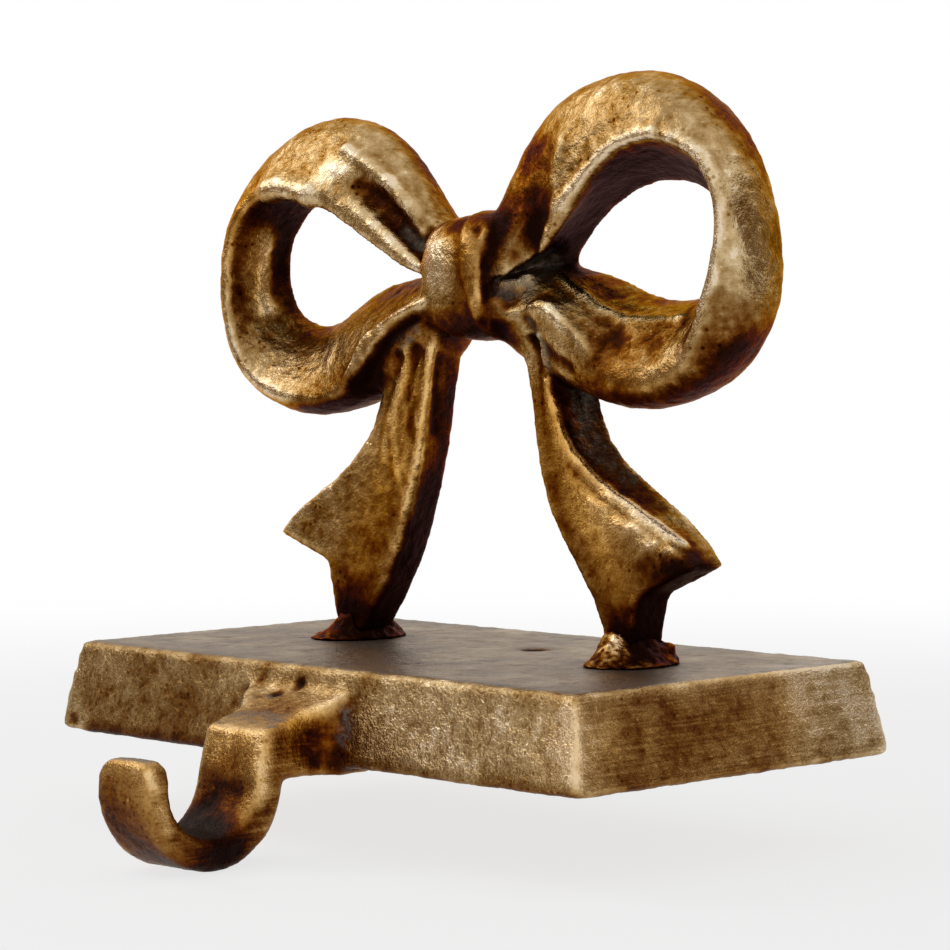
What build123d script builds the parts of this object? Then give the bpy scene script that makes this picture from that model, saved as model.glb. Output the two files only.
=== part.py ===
"""Mantel stocking holder: a cast brass ribbon bow brazed to a slab base with a cast-on J hook.

Millimetres, +Z up. The origin is the centre of the base's underside, the face that rests on the
mantel. X runs along the front edge, and -Y is the front, where the hook hangs over the edge.
"""
from build123d import *
import math
import os

# Base slab
BASE_LENGTH = 102.4
BASE_DEPTH = 59.4
BASE_HEIGHT = 12.4
BASE_TOP_INSET = 2.5
BASE_CORNER_RADIUS = 1.6
BASE_TOP_EDGE_RADIUS = 0.5
BASE_BOTTOM_EDGE_RADIUS = 0.6

# Casting pit in the top of the slab
PIT_DIAMETER = 4.4
PIT_DEPTH = 1.2
PIT_X = 6.5
PIT_Y = 8.0

# J hook, a flat bar bent in the YZ plane in front of the slab
HOOK_RIGHT = 6.0
HOOK_SHANK_LEFT = -8.4
HOOK_TIP_LEFT = -4.0
HOOK_FLARE = 2.2
HOOK_REACH = 17.9
HOOK_BEND_RADIUS = 11.2
HOOK_BEND_Z = -0.5
HOOK_THROAT_RADIUS = 6.9
HOOK_THROAT_SHIFT = 0.5
HOOK_UNDERSIDE_Z = -1.1
HOOK_SHOULDER_Z = 5.2
HOOK_SHOULDER_SET_BACK = 1.8
HOOK_RIDGE_Z = 7.0
HOOK_RIDGE_REACH = 3.4
HOOK_ROOT_Z = 11.3
HOOK_ROOT_DEPTH = 6.0
HOOK_TIP_RISE = 3.6
HOOK_TIP_LEFT_ROUND = 3.4
HOOK_TIP_RIGHT_ROUND = 2.2
HOOK_EDGE_RADIUS = 0.9

# Bow as a whole
BOW_X = 0.8
BOW_Y = 3.0
LOOP_DEPTH = 11.0
CROWN_SET_BACK = 6.0
LIP_SET_BACK = 4.5
BACK_DRAFT = 1.2
LEFT_RIM = 1.0
RIGHT_RIM = 1.2
KNOT_Z = 62.9

# Knot
KNOT_SHIFT = 1.0
KNOT_WIDTH = 13.0
KNOT_HEIGHT = 17.0
KNOT_DEPTH = 13.5
KNOT_LEFT_SCALE = 0.84
KNOT_RIGHT_SCALE = 0.95
KNOT_SQUARENESS = 2.7
WRAP_STEP = 0.6
WRAP_TILT = 12.0
WRAP_SHIFT = 4.2

# Outlines of the ribbon loops, each point as the distance out from the middle of the bow and the
# height over the middle of the knot, from the knot over the top and back: the front edge, the
# crown behind it, the lip inside the hole and the edge of the hole at the back.
LEFT_FRONT = [
    (4, 0.8), (14.8, 4.9), (26.2, 10.9), (37, 13.2), (45.3, 8.8), (47.8, -1),
    (44.4, -12.2), (33.5, -17.2), (22, -15.8), (14, -8.5), (4, -4),
]
LEFT_CROWN = [
    (4, 5.6), (10.5, 11.6), (18, 19.2), (29, 22.7), (40.9, 19), (49.1, 9.3),
    (51.2, -3.3), (45.5, -13.7), (33, -19.1), (20, -16.8), (4, -6.8),
]
LEFT_LIP = [
    (9.5, 1.6), (19, 7.6), (30, 12), (40, 10.6), (45.4, 3), (43.4, -7), (34, -10.6), (22, -5.6),
]
LEFT_HOLE = [
    (13, 2.4), (22, 9.2), (33, 12), (42, 8.2), (44.8, 0.5), (40.5, -5.6), (32, -5.2), (22, -0.4),
]
RIGHT_FRONT = [
    (4, 1), (15, 2.4), (21, 7.6), (27, 15.2), (36.5, 18.3), (45.6, 14.2), (48.9, 5.5),
    (45.8, -4), (42.5, -11.2), (33.5, -14.7), (24, -11), (16, -4.5), (4, -3.6),
]
RIGHT_CROWN = [
    (5.4, 7.6), (8.4, 15.4), (13.9, 22), (24, 25.9), (34.8, 25.6), (44.4, 19.5), (50.2, 8),
    (50.5, -4), (44.7, -12.7), (34, -17.1), (20, -15), (4, -5.8),
]
RIGHT_LIP = [
    (11.5, 1.6), (20, 8), (28, 13.6), (37, 15), (44.6, 11), (46.4, 4), (42.4, -3.4), (34, -5.6),
    (26, -4.6), (18, -1),
]
RIGHT_HOLE = [
    (14.2, 2.8), (21, 9.2), (30, 12.1), (39.5, 9), (43.5, 1.5), (37.5, -2.8), (28, -2.4), (20, 0.2),
]

# Folds in the ribbon, each a round roll through points given as the distance out, the height over
# the middle of the knot, the depth behind the bow's middle plane and the radius there.
LEFT_VALLEYS = [
    [(5, 4.8, -4.2, 3.2), (17, 12, -5.2, 2.4), (25, 16, -7.4, 2)],
    [(8.2, -10, -4.1, 1.2), (13.4, -26, -4.4, 0.9)],
    [(11.5, -10.8, -4.1, 1.2), (17.6, -24, -4.4, 0.9)],
]
LEFT_ROLLS = [
    [(5, -3.4, -4.3, 1.9), (15.6, -8.6, -4.5, 1.2), (20.8, -14.4, -4.9, 0.9)],
    [(8, -1.6, 0.8, 2.2), (25, -7.6, 1.9, 1.5)],
]
RIGHT_VALLEYS = [
    [(13.2, 2.2, -7.6, 3.6), (18, 11, -8.2, 3.4)],
    [(14.6, -9, -4.1, 1.4), (17.2, -27, -4.4, 1.0)],
]
RIGHT_ROLLS = [
    [(8, -3.8, -4, 1.7), (20, -9, -3, 1)],
    [(5, -1.2, -0.4, 2.8), (13, -1.2, 0.8, 2.4), (21, -3.8, 1.4, 1.6)],
]

# Edges of the ribbon tails, each point as the distance out from the middle of the bow and the
# share of the way up from the slab to the middle of the knot.
TAIL_THICKNESS = 6.5
TAIL_DRAFT = 0.8
LEFT_OUTER_FRONT = [(9.5, 0.92), (15.6, 0.73), (17.7, 0.62), (22.6, 0.5), (30.4, 0.4), (38.2, 0.285)]
LEFT_OUTER_BACK = [(9, 0.92), (15, 0.73), (17.2, 0.62), (22.2, 0.5), (30, 0.4), (37.8, 0.285)]
LEFT_INNER = [(3.6, 0.92), (6.2, 0.73), (7.6, 0.58), (10.4, 0.38), (14.6, 0.19), (18.4, 0.08), (21.4, 0)]
LEFT_NOTCH = (28.0, 0.215)
LEFT_FOOT = 25.4
RIGHT_OUTER_FRONT = [(12, 0.92), (16, 0.72), (17.8, 0.58), (22, 0.48), (32, 0.375), (42, 0.262)]
RIGHT_OUTER_BACK = [(17, 0.92), (19.8, 0.72), (22.4, 0.58), (28.2, 0.48), (36.4, 0.375), (42, 0.262)]
RIGHT_INNER = [(7, 0.92), (12.2, 0.745), (13.9, 0.55), (16.3, 0.39), (22.2, 0.22), (26.8, 0)]
RIGHT_NOTCH = (32.6, 0.18)
RIGHT_FOOT = 30.4

# Braze round the tails' feet. A heap's rings run from the slab up, each given by its middle along X and
# Y from the middle of the foot, its half lengths along X and Y, and its height. The beads on the heap
# are given by their places and radii.
LEFT_HEAP = [
    (-2, 0.4, 6.6, 8.8, 0), (-1, 0.2, 4.6, 6, 1), (-0.4, 0.1, 3.3, 4.7, 2.4), (-0.1, 0, 2.5, 3.8, 4),
]
LEFT_BEADS = [(-2.4, -2.8, 0.5, 1.8), (2.2, -2.4, 0.4, 1.5), (-0.4, 4.6, 0.4, 2)]
RIGHT_HEAP = [
    (1, -1.2, 5.8, 8, 0), (0.8, -1, 4.2, 6.2, 1.1), (0.4, -0.6, 3.1, 4.9, 2.7), (0, -0.2, 2.4, 3.9, 4.4),
]
RIGHT_BEADS = [(-0.5, -3, 2.5, 2), (2.4, 2.8, 1, 2.1)]

CUT_MARGIN = 30.0


def smooth_ring(points, y, side):
    """Closed smooth outline of the bow at one depth, on the left (-1) or right (1) side."""
    ring = [Vector(BOW_X + side * out, y, KNOT_Z + up) for out, up in points]
    return Wire([Edge.make_spline(ring, periodic=True)])


def inset(points, amount):
    """Outline moved inwards by an amount, for points that run clockwise."""
    moved = []
    for index, (out, up) in enumerate(points):
        before = points[index - 1]
        after = points[(index + 1) % len(points)]
        run = after[0] - before[0]
        rise = after[1] - before[1]
        share = amount / math.hypot(run, rise)
        moved.append((out + rise * share, up - run * share))
    return moved


def slab():
    """Cast slab with drafted sides, soft corners and eased edges."""
    draft = math.degrees(math.atan(BASE_TOP_INSET / BASE_HEIGHT))
    outline = RectangleRounded(BASE_LENGTH, BASE_DEPTH, BASE_CORNER_RADIUS)
    body = extrude(outline, BASE_HEIGHT, taper=draft)
    body = fillet(body.faces().sort_by(Axis.Z)[-1].edges(), BASE_TOP_EDGE_RADIUS)
    return fillet(body.faces().sort_by(Axis.Z)[0].edges(), BASE_BOTTOM_EDGE_RADIUS)


def casting_pit():
    """Shallow round pit, where a ball dips into the slab's top."""
    half = PIT_DIAMETER / 2
    ball = (half**2 + PIT_DEPTH**2) / (2 * PIT_DEPTH)
    return Pos(PIT_X, PIT_Y, BASE_HEIGHT + ball - PIT_DEPTH) * Sphere(ball)


def hook_profile():
    """Side outline of the hook: shank, round throat and upturned tip."""
    front = -BASE_DEPTH / 2
    root = front + HOOK_ROOT_DEPTH
    bend_y = front - HOOK_REACH
    throat_y = bend_y - HOOK_THROAT_SHIFT
    heel = bend_y + math.sqrt(HOOK_BEND_RADIUS**2 - (HOOK_BEND_Z - HOOK_UNDERSIDE_Z) ** 2)
    tip_z = HOOK_BEND_Z + HOOK_TIP_RISE
    tip_front = bend_y - HOOK_BEND_RADIUS
    tip_back = throat_y - HOOK_THROAT_RADIUS
    breast = throat_y + HOOK_THROAT_RADIUS
    belly = (bend_y, HOOK_BEND_Z - HOOK_BEND_RADIUS)
    bottom = (throat_y, HOOK_BEND_Z - HOOK_THROAT_RADIUS)
    with BuildSketch(Plane.YZ) as sketch:
        with BuildLine():
            ThreePointArc((heel, HOOK_UNDERSIDE_Z), belly, (tip_front, HOOK_BEND_Z))
            Polyline(
                (tip_front, HOOK_BEND_Z),
                (tip_front, tip_z),
                (tip_back, tip_z),
                (tip_back, HOOK_BEND_Z),
            )
            ThreePointArc((tip_back, HOOK_BEND_Z), bottom, (breast, HOOK_BEND_Z))
            Polyline(
                (breast, HOOK_BEND_Z),
                (breast + HOOK_SHOULDER_SET_BACK, HOOK_SHOULDER_Z),
                (front - HOOK_RIDGE_REACH, HOOK_RIDGE_Z),
                (root, HOOK_ROOT_Z),
                (root, HOOK_UNDERSIDE_Z),
                (heel, HOOK_UNDERSIDE_Z),
            )
        make_face()
    return sketch.sketch


def hook_bar(profile):
    """Bar of the hook, narrowing towards its tip, with rounded tip and edges."""
    root = -BASE_DEPTH / 2 + HOOK_ROOT_DEPTH
    end = -BASE_DEPTH / 2 - 2 * HOOK_REACH
    plan = Polygon(
        (HOOK_SHANK_LEFT, root),
        (HOOK_TIP_LEFT, end),
        (HOOK_RIGHT, end),
        (HOOK_RIGHT, root),
        align=None,
    )
    bar = profile & extrude(plan, CUT_MARGIN, both=True)
    tip_edges = bar.faces().filter_by(Axis.Z).sort_by(Axis.Y)[0].edges().sort_by(Axis.X)
    bar = fillet(tip_edges[0], HOOK_TIP_LEFT_ROUND)
    tip_edges = bar.faces().filter_by(Axis.Z).sort_by(Axis.Y)[0].edges().sort_by(Axis.X)
    bar = fillet(tip_edges[-1], HOOK_TIP_RIGHT_ROUND)
    sides = bar.faces().filter_by(lambda face: abs(face.normal_at().X) > 0.99)
    rims = sides.edges().filter_by(lambda edge: edge.center().Y < root - HOOK_EDGE_RADIUS)
    return fillet(rims, HOOK_EDGE_RADIUS)


def hook_flare(profile):
    """Flare of the shank where it runs into the slab."""
    front = -BASE_DEPTH / 2
    root = front + HOOK_ROOT_DEPTH
    shank = front - 2 * HOOK_FLARE
    plan = Polygon(
        (HOOK_SHANK_LEFT - HOOK_FLARE, root),
        (HOOK_SHANK_LEFT - HOOK_FLARE, front),
        (HOOK_SHANK_LEFT + HOOK_FLARE, shank),
        (HOOK_RIGHT - HOOK_FLARE, shank),
        (HOOK_RIGHT + HOOK_FLARE, front),
        (HOOK_RIGHT + HOOK_FLARE, root),
        align=None,
    )
    return profile & extrude(plan, CUT_MARGIN, both=True)


def hook():
    """J hook out of the slab's front."""
    profile = extrude(hook_profile(), CUT_MARGIN, both=True)
    return hook_bar(profile) + hook_flare(profile)


def base_with_hook():
    """Slab and hook, one casting, with the pit in its top."""
    return slab() + hook() - casting_pit()


def roll(points, side):
    """Round fold of ribbon through points, of the radius given at each."""
    stops = []
    for out, up, depth, radius in points:
        stops.append((Vector(BOW_X + side * out, BOW_Y + depth, KNOT_Z + up), radius))
    body = Part() + [Pos(*place) * Sphere(radius) for place, radius in stops]
    for (start, start_radius), (end, end_radius) in zip(stops, stops[1:]):
        run = end - start
        body += Solid.make_cone(start_radius, end_radius, run.length, Plane(start, z_dir=run))
    return body


def ribbon_loop(front_edge, crown_edge, lip_edge, hole_edge, rim, side):
    """One ribbon loop: bevelled from its crown to its front edge, round a tapering hole."""
    front = BOW_Y - LOOP_DEPTH / 2
    back = BOW_Y + LOOP_DEPTH / 2
    body = Solid.make_loft([
        smooth_ring(front_edge, front, side),
        smooth_ring(crown_edge, front + CROWN_SET_BACK, side),
        smooth_ring(inset(crown_edge, BACK_DRAFT), back, side),
    ])
    hole = Solid.make_loft([
        smooth_ring(inset(front_edge, rim), front, side),
        smooth_ring(lip_edge, front + LIP_SET_BACK, side),
        smooth_ring(hole_edge, back, side),
    ])
    return body - hole


def drum(growth):
    """Rounded drum along X, fuller on the right than on the left."""
    sections = []
    for share in (-1.0, -0.65, 0.0, 0.65, 1.0):
        end_scale = KNOT_LEFT_SCALE if share < 0 else KNOT_RIGHT_SCALE
        scale = 1 - (1 - end_scale) * share**2
        half_depth = (KNOT_DEPTH / 2 + growth) * scale
        half_height = (KNOT_HEIGHT / 2 + growth) * scale
        x = BOW_X + KNOT_SHIFT + share * KNOT_WIDTH / 2
        ring = []
        for step in range(16):
            turn = 2 * math.pi * step / 16
            across = math.copysign(abs(math.cos(turn)) ** (2 / KNOT_SQUARENESS), math.cos(turn))
            rise = math.copysign(abs(math.sin(turn)) ** (2 / KNOT_SQUARENESS), math.sin(turn))
            ring.append(Vector(x, BOW_Y + half_depth * across, KNOT_Z + half_height * rise))
        sections.append(Wire([Edge.make_spline(ring, periodic=True)]))
    return Solid.make_loft(sections)


def knot():
    """Knot with the ribbon's last turn lapped over it along a slanting edge."""
    lap = Pos(BOW_X + WRAP_SHIFT, BOW_Y, KNOT_Z) * Rot(0, -WRAP_TILT, 0)
    lapped_side = lap * Pos(CUT_MARGIN, 0, 0) * Box(2 * CUT_MARGIN, 2 * CUT_MARGIN, 4 * CUT_MARGIN)
    return drum(0) + (drum(WRAP_STEP) & lapped_side)


def tail_outline(outer, inner, notch, foot, y, side):
    """Closed outline of a tail at one depth: outer edge, swallow-tail end, foot and inner edge."""
    drop = KNOT_Z - BASE_HEIGHT

    def place(point):
        return Vector(BOW_X + side * point[0], y, BASE_HEIGHT + point[1] * drop)

    outer_edge = Edge.make_spline([place(point) for point in outer])
    inner_edge = Edge.make_spline([place(point) for point in reversed(inner)])
    end = [outer[-1], notch, (foot, 0), inner[-1]]
    cuts = [Edge.make_line(place(first), place(second)) for first, second in zip(end, end[1:])]
    top = Edge.make_line(place(inner[0]), place(outer[0]))
    return Wire([outer_edge, *cuts, inner_edge, top])


def ribbon_tail(outer_front, outer_back, inner, notch, foot, side):
    """One ribbon tail from the knot down to its foot, with a swallow-tail end."""
    inner_back = [(out + TAIL_DRAFT, share) for out, share in inner]
    front = tail_outline(outer_front, inner, notch, foot, BOW_Y - TAIL_THICKNESS / 2, side)
    back = tail_outline(outer_back, inner_back, notch, foot, BOW_Y + TAIL_THICKNESS / 2, side)
    return Solid.make_loft([front, back], ruled=True)


def folded(loop, tail, rolls, valleys, side):
    """One side of the bow: loop, tail and rolled folds, with the valleys pressed in."""
    body = loop + tail + [roll(points, side) for points in rolls]
    return body - [roll(points, side) for points in valleys]


def ribbon_bow(left_tail, right_tail):
    """The bow casting: knot, two loops and two tails in one piece, with the ribbon's folds."""
    left_loop = ribbon_loop(LEFT_FRONT, LEFT_CROWN, LEFT_LIP, LEFT_HOLE, LEFT_RIM, -1)
    right_loop = ribbon_loop(RIGHT_FRONT, RIGHT_CROWN, RIGHT_LIP, RIGHT_HOLE, RIGHT_RIM, 1)
    left = folded(left_loop, left_tail, LEFT_ROLLS, LEFT_VALLEYS, -1)
    right = folded(right_loop, right_tail, RIGHT_ROLLS, RIGHT_VALLEYS, 1)
    return knot() + left + right


def braze(inner, foot, rings, beads, side, tail):
    """Braze heaped round a foot with beads on it, shaped to the tail and the slab's top."""
    middle = Pos(BOW_X + side * (inner[-1][0] + foot) / 2, BOW_Y, BASE_HEIGHT)
    outlines = []
    for x, y, half_length, half_depth, height in rings:
        ring = middle * Pos(x, y, height) * Ellipse(half_length, half_depth).wire()
        outlines.append(ring)
    heap = Part() + Solid.make_loft(outlines)
    heap += [middle * Pos(x, y, height) * Sphere(radius) for x, y, height, radius in beads]
    below = middle * Pos(0, 0, -CUT_MARGIN) * Box(2 * CUT_MARGIN, 2 * CUT_MARGIN, 2 * CUT_MARGIN)
    return heap - below - tail


def main():
    os.makedirs("parts", exist_ok=True)
    left_tail = ribbon_tail(LEFT_OUTER_FRONT, LEFT_OUTER_BACK, LEFT_INNER, LEFT_NOTCH, LEFT_FOOT, -1)
    right_tail = ribbon_tail(RIGHT_OUTER_FRONT, RIGHT_OUTER_BACK, RIGHT_INNER, RIGHT_NOTCH, RIGHT_FOOT, 1)
    nodes = {
        "base_with_hook": base_with_hook(),
        "ribbon_bow": ribbon_bow(left_tail, right_tail),
        "left_foot_braze": braze(LEFT_INNER, LEFT_FOOT, LEFT_HEAP, LEFT_BEADS, -1, left_tail),
        "right_foot_braze": braze(RIGHT_INNER, RIGHT_FOOT, RIGHT_HEAP, RIGHT_BEADS, 1, right_tail),
    }
    for name, shape in nodes.items():
        export_step(shape, f"parts/{name}.step")


if __name__ == "__main__":
    main()
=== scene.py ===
"""Aged brass looks for a mantel stocking holder: a ribbon bow brazed to a slab with a J hook.

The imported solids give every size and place. Each casting is a copy of its solid, brought to an even
skin, worked over with soft fold strokes as a wax pattern is, and dressed in antiqued brass. Lengths in
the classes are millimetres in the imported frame, and the meshes are in metres.
"""

import logging
import math
from dataclasses import dataclass
from enum import Enum
from typing import Any

import bmesh
import bpy
import numpy as np
from mathutils import Matrix, Vector, noise
from mathutils.bvhtree import BVHTree


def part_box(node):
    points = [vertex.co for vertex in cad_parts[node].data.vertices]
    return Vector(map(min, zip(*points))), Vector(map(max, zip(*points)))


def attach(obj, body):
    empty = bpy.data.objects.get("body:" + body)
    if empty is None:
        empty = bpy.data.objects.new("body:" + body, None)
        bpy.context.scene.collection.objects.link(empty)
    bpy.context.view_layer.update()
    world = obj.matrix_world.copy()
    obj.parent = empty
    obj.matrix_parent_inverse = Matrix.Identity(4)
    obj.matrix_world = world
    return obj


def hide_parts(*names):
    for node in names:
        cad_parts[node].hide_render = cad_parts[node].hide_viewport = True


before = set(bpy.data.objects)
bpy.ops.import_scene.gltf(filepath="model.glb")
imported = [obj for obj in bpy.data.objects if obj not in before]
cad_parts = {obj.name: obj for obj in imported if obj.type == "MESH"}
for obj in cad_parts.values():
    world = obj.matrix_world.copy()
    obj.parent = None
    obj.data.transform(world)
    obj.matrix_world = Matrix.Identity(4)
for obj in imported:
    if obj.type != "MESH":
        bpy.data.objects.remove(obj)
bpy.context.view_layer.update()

MM = 0.001
MERGE_DISTANCE = 0.001
BODY = "root"

WHITE = (1.0, 1.0, 1.0)

Colour = tuple[float, float, float]
Point = tuple[float, float, float]
Line = tuple[Point, ...]
Range = tuple[float, float]

log = logging.getLogger("stocking_holder")


class Coat(Enum):
    """What lies on the brass at each point of a casting, kept as a mesh attribute."""

    # The patina coat also carries painted shade, a side painted lighter and some painted highlights.
    PATINA_AND_SHADE = "patina"
    COPPER = "copper"
    RESIDUE = "residue"


class Value:
    """A number socket of a graph; arithmetic on it adds Math nodes."""

    def __init__(self, graph: "Graph", socket: bpy.types.NodeSocket) -> None:
        """Holds a socket of the graph."""
        self.graph = graph
        self.socket = socket

    def math(self, operation: str, *operands: Any) -> "Value":
        """Adds a Math node.

        Args:
            operation: The node's operation.
            operands: Its inputs in order, as values or numbers.

        Returns:
            The node's result.
        """
        node = self.graph.node("ShaderNodeMath", {"operation": operation}, dict(enumerate(operands)))
        return Value(self.graph, node.outputs[0])

    def __add__(self, other: Any) -> "Value":
        """This plus other."""
        return self.math("ADD", self, other)

    def __sub__(self, other: Any) -> "Value":
        """This minus other."""
        return self.math("SUBTRACT", self, other)

    def __rsub__(self, other: Any) -> "Value":
        """Other minus this."""
        return self.math("SUBTRACT", other, self)

    def __mul__(self, other: Any) -> "Value":
        """This times other."""
        return self.math("MULTIPLY", self, other)

    __radd__ = __add__
    __rmul__ = __mul__

    def at_least(self, other: Any) -> "Value":
        """The greater of this and other."""
        return self.math("MAXIMUM", self, other)

    def step(self, low: float, high: float) -> "Value":
        """Rises smoothly from 0 at low to 1 at high.

        Args:
            low: Value that gives 0.
            high: Value that gives 1.

        Returns:
            The smooth step.
        """
        settings = {"interpolation_type": "SMOOTHSTEP"}
        sockets = {"Value": self, "From Min": low, "From Max": high}
        return Value(self.graph, self.graph.node("ShaderNodeMapRange", settings, sockets).outputs[0])


class Graph:
    """The nodes of a material or of the world."""

    def __init__(self, tree: bpy.types.NodeTree) -> None:
        """Empties the tree and holds it."""
        self.tree = tree
        self.tree.nodes.clear()

    def node(self, kind: str, settings: dict | None = None, sockets: dict | None = None) -> bpy.types.Node:
        """Adds any node.

        Args:
            kind: The node's type.
            settings: Its properties, set first; a ramp's stops are (position, colour) pairs.
            sockets: Its inputs by name or index, as numbers, colours, sockets or values.

        Returns:
            The new node.
        """
        node = self.tree.nodes.new(kind)
        for key, setting in (settings or {}).items():
            if key == "stops":
                self.set_stops(node.color_ramp, setting)
            else:
                setattr(node, key, setting)
        for key, given in (sockets or {}).items():
            socket = self.find(node, key)
            given = given.socket if isinstance(given, Value) else given
            if isinstance(given, bpy.types.NodeSocket):
                self.tree.links.new(given, socket)
            elif isinstance(given, tuple) and len(given) < len(socket.default_value):
                socket.default_value = (*given, 1.0)
            else:
                socket.default_value = given
        return node

    @staticmethod
    def find(node: bpy.types.Node, key: str | int) -> bpy.types.NodeSocket:
        """Finds an enabled input of a node.

        Args:
            node: The node.
            key: The input's index, name or identifier.

        Returns:
            The input socket.
        """
        if isinstance(key, int):
            return node.inputs[key]
        return next(s for s in node.inputs if s.enabled and key in (s.name, s.identifier))

    @staticmethod
    def set_stops(ramp: bpy.types.ColorRamp, stops: list[tuple[float, Colour]]) -> None:
        """Gives a ramp its stops.

        Args:
            ramp: The ramp.
            stops: Positions from 0 to 1 with the colour at each.
        """
        while len(ramp.elements) < len(stops):
            ramp.elements.new(1.0)
        for element, (position, colour) in zip(ramp.elements, stops):
            element.position = position
            element.color = (*colour, 1.0)

    def seen(self) -> Value:
        """Tells what is seen, straight, mirrored or through glass, from what only lights.

        Returns:
            1 for a ray that is seen, 0 for one that lights a matt surface.
        """
        path = self.node("ShaderNodeLightPath").outputs
        seen = Value(self, path["Is Camera Ray"])
        for name in ("Is Glossy Ray", "Is Transmission Ray"):
            seen = seen.at_least(Value(self, path[name]))
        return seen


class Shader(Graph):
    """A material's nodes, placed by Object coordinates in millimetres."""

    # Share of a speck that is full, and how strongly what isn't metal shines.
    SPECK_CORE = 0.3
    GLOSS = 0.08

    def __init__(self, name: str) -> None:
        """Starts an empty material.

        Args:
            name: The material's name.
        """
        self.material = bpy.data.materials.new(name)
        self.material.use_nodes = True
        super().__init__(self.material.node_tree)
        coordinate = self.node("ShaderNodeTexCoord")
        settings = {"operation": "SCALE"}
        sockets = {"Vector": coordinate.outputs["Object"], "Scale": 1 / MM}
        self.place = self.node("ShaderNodeVectorMath", settings, sockets).outputs[0]

    def coat(self, coat: Coat) -> Value:
        """A coat's amount, read from the mesh."""
        node = self.node("ShaderNodeAttribute", {"attribute_name": coat.value})
        return Value(self, node.outputs["Fac"])

    def grain(
        self, size: float, detail: float, stretch: Point = (1, 1, 1), roughness: float = 0.6
    ) -> Value:
        """Soft noise about 0.

        Args:
            size: Width of a blotch in millimetres.
            detail: Octaves of finer noise.
            stretch: Times by which blotches are longer along each axis.
            roughness: How strong the finer noise is.

        Returns:
            Noise from about -0.5 to 0.5.
        """
        scale = tuple(1 / (size * length) for length in stretch)
        sockets = {"Vector": self.place, "Scale": scale}
        mapped = self.node("ShaderNodeMapping", {"vector_type": "POINT"}, sockets)
        sockets = {"Vector": mapped.outputs[0], "Scale": 1.0, "Detail": detail, "Roughness": roughness}
        return Value(self, self.node("ShaderNodeTexNoise", None, sockets).outputs[0]) - 0.5

    def specks(self, size: float, spread: float) -> Value:
        """Round specks scattered over the surface.

        Args:
            size: Distance between specks in millimetres.
            spread: Share of that distance that a speck covers.

        Returns:
            1 in the middle of a speck, 0 between them.
        """
        sockets = {"Vector": self.place, "Scale": 1 / size, "Randomness": 1.0}
        cells = self.node("ShaderNodeTexVoronoi", {"feature": "F1"}, sockets)
        return 1 - Value(self, cells.outputs["Distance"]).step(spread * self.SPECK_CORE, spread)

    def facing(self, axis: str) -> Value:
        """How far the surface faces along X, Y or Z, from -1 to 1."""
        normal = self.node("ShaderNodeNewGeometry").outputs["Normal"]
        return Value(self, self.node("ShaderNodeSeparateXYZ", None, {0: normal}).outputs[axis])

    def mix(self, share: Value, first: Any, second: Any, blend: str = "MIX") -> bpy.types.NodeSocket:
        """Mixes two colours.

        Args:
            share: Amount of the second colour.
            first: Colour where the share is 0.
            second: Colour where the share is 1.
            blend: How the second colour goes over the first.

        Returns:
            The mixed colour.
        """
        sockets = {"Factor_Float": share, "A_Color": first, "B_Color": second}
        node = self.node("ShaderNodeMix", {"data_type": "RGBA", "blend_type": blend}, sockets)
        return next(s for s in node.outputs if s.identifier == "Result_Color")

    def finish(
        self, colour: Any, roughness: Value, metallic: Value, height: Value, relief: float, tint: Colour
    ) -> None:
        """Ends the graph in its surface.

        Args:
            colour: Base colour.
            roughness: Roughness from 0 to 1.
            metallic: Share of bare metal.
            height: Relief of the surface, in units of relief.
            relief: Depth of the relief in millimetres.
            tint: Colour of the gloss at a glancing angle.
        """
        sockets = {"Strength": 1.0, "Distance": relief * MM, "Height": height}
        bump = self.node("ShaderNodeBump", None, sockets)
        sockets = {
            "Base Color": colour,
            "Roughness": roughness,
            "Metallic": metallic,
            "Specular IOR Level": self.GLOSS,
            "Specular Tint": tint,
            "Normal": bump.outputs[0],
        }
        surface = self.node("ShaderNodeBsdfPrincipled", None, sockets)
        self.node("ShaderNodeOutputMaterial", None, {"Surface": surface.outputs[0]})


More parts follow.
